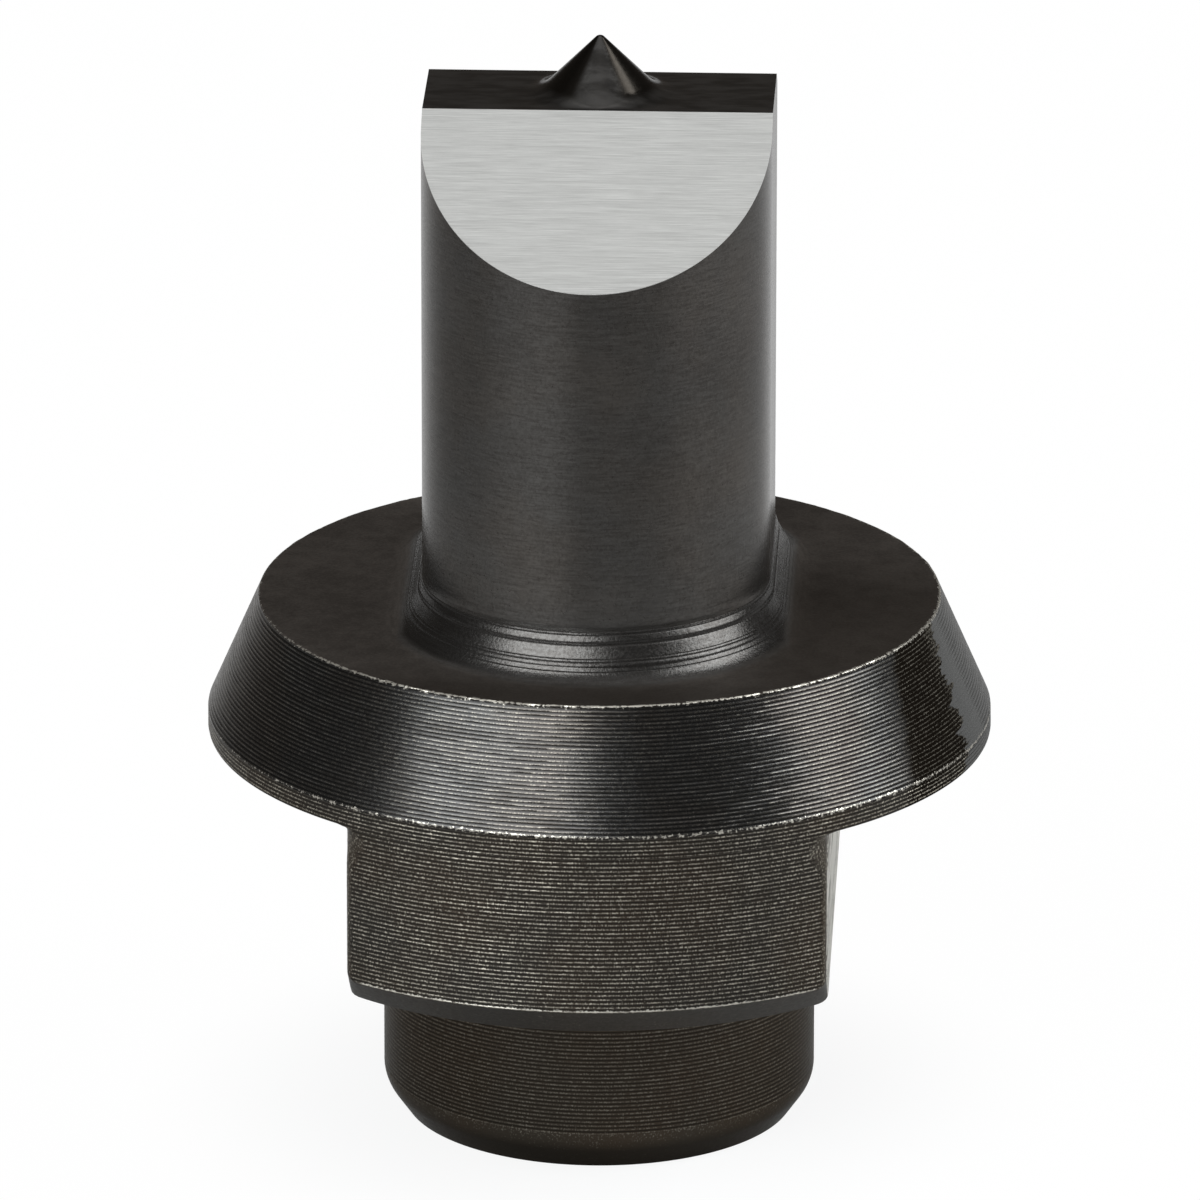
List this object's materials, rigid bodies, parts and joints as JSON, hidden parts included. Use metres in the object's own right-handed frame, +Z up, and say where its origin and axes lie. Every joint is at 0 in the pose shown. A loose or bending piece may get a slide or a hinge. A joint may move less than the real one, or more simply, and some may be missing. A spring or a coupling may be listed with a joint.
{
  "type": "oval punch",
  "caption": "Oval punch in blackened tool steel: roof-ground oval stem with a conical centring point, tapered flange, double-D drive collar and plain spigot.",
  "frame": {"origin": "centre of the spigot's foot, where the punch stands", "axes": "+Z up the punch's axis to its point, +Y along the oval's length, +X across the oval's width and square to the drive flats"},
  "size_m": [0.0318, 0.0318, 0.0454],
  "materials": {
    "blackened_steel": "black oxide over turned and milled tool steel, satin",
    "ground_steel": "bright ground roof facets, lined across the punch"
  },
  "bodies": {
    "root": {"oval_punch": "blackened_steel"}
  },
  "joints": []
}
